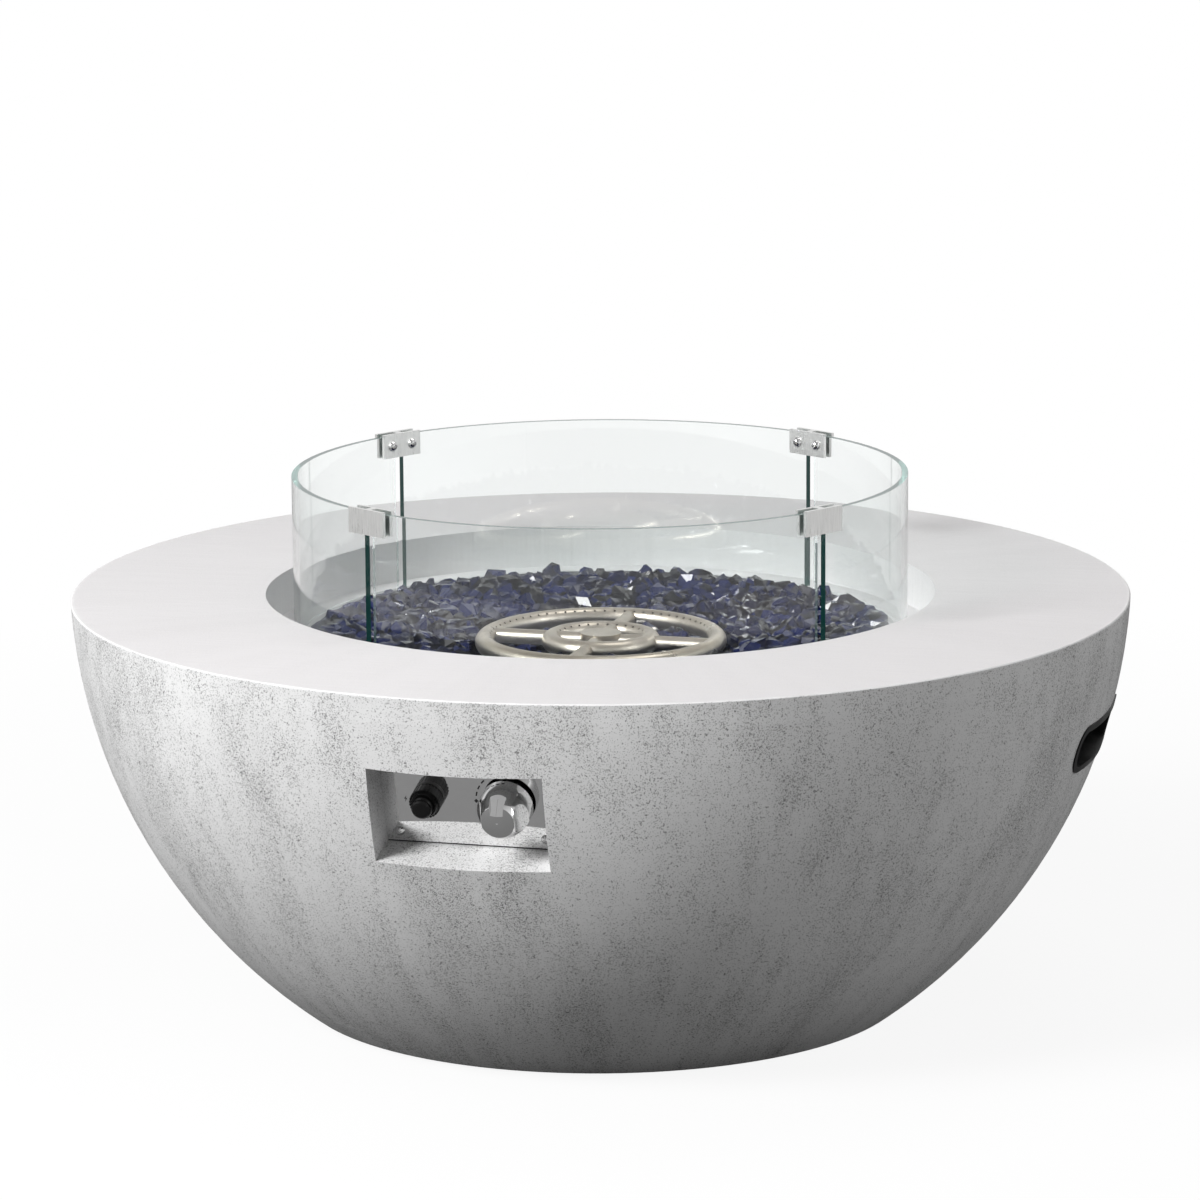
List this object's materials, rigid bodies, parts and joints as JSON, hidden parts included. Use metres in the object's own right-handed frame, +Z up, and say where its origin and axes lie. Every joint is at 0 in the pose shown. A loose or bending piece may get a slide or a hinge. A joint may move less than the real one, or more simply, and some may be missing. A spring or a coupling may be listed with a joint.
{
  "type": "gas fire bowl table",
  "caption": "Low round cast-concrete fire bowl table with a drop-in double-ring gas burner, fire glass, a clipped glass wind guard and a recessed mirror control panel.",
  "frame": {"origin": "centre of the footprint on the floor", "axes": "+Z up, the controls face -Y, +X to the right as seen from the front"},
  "size_m": [1.0667, 1.0668, 0.544],
  "materials": {
    "cast_concrete": "fine cast concrete, pale grey, lightly mottled, matt",
    "rubber": "matt black rubber",
    "black_plastic": "moulded black plastic, low sheen",
    "button_plastic": "glossy black moulded plastic",
    "stainless_sheet": "brushed stainless sheet",
    "burner_steel": "stainless tube, lightly heat-tinted",
    "brass": "bright machined brass",
    "fire_glass": "cobalt blue tumbled glass lumps, glossy",
    "clear_glass": "clear tempered glass with green edges",
    "clip_steel": "brushed stainless",
    "screw_steel": "polished stainless",
    "mirror_panel": "mirror-polished stainless sheet",
    "knob_chrome": "bright chrome",
    "cell_wrap": "plain glossy wrap, no marks",
    "spring_steel": "bright spring wire",
    "ceramic": "plain white ceramic",
    "wire_red": "dark red silicone insulation",
    "copper": "drawn copper tube",
    "hose_grey": "dark grey gas hose"
  },
  "bodies": {
    "bowl": {"bowl_tabletop": "cast_concrete", "bowl_side": "cast_concrete", "bowl_base": "cast_concrete", "foot_pads": "rubber", "hand_cup_left": "black_plastic", "hand_cup_right": "black_plastic", "burner_pan": "stainless_sheet", "burner": "burner_steel", "burner_locknut": "brass", "air_mixer": "brass", "orifice_elbow": "brass", "fire_glass": "fire_glass", "control_panel": "mirror_panel", "panel_screws": "screw_steel", "valve_body": "brass", "valve_nut": "stainless_sheet", "igniter_housing": "black_plastic", "igniter_nut": "black_plastic", "button_spring": "spring_steel", "igniter_cell": "cell_wrap", "cell_spring": "spring_steel", "spark_electrode": "ceramic", "flame_sensor": "burner_steel", "sensor_bracket": "stainless_sheet", "igniter_wire": "wire_red", "sensor_lead": "copper", "burner_hose": "hose_grey", "inlet_hose": "hose_grey", "inlet_bracket": "stainless_sheet", "bracket_screws": "screw_steel", "inlet_fitting": "brass", "inlet_nut": "brass"},
    "wind_guard": {"glass_panel_1": "clear_glass", "glass_panel_2": "clear_glass", "glass_panel_3": "clear_glass", "glass_panel_4": "clear_glass", "guard_clip_1": "clip_steel", "guard_clip_2": "clip_steel", "guard_clip_3": "clip_steel", "guard_clip_4": "clip_steel", "clip_screws": "screw_steel"},
    "valve_rotor": {"valve_plug": "brass"},
    "knob": {"valve_spindle": "burner_steel", "control_knob": "knob_chrome"},
    "igniter_cap": {"igniter_collar": "button_plastic"},
    "push_button": {"igniter_button": "button_plastic"}
  },
  "joints": [
    {"name": "guard_lift", "type": "slide", "parent": "bowl", "child": "wind_guard", "axis": [0, 0, 1], "range_m": [0, 0.2]},
    {"name": "knob_turn", "type": "hinge", "parent": "bowl", "child": "valve_rotor", "pos_m": [0.038, -0.51345, 0.299], "axis": [0, -0.9625, -0.2712], "range_deg": [-90, 90]},
    {"name": "knob_press", "type": "slide", "parent": "valve_rotor", "child": "knob", "axis": [0, 0.9625, 0.2712], "range_m": [0, 0.003], "stiffness_N_per_m": 1500, "springref_m": -0.004},
    {"name": "cap_off", "type": "slide", "parent": "bowl", "child": "igniter_cap", "axis": [0, -0.9625, -0.2712], "range_m": [0, 0.045]},
    {"name": "button_press", "type": "slide", "parent": "igniter_cap", "child": "push_button", "axis": [0, 0.9625, 0.2712], "range_m": [0, 0.003], "stiffness_N_per_m": 1500, "springref_m": -0.003}
  ]
}
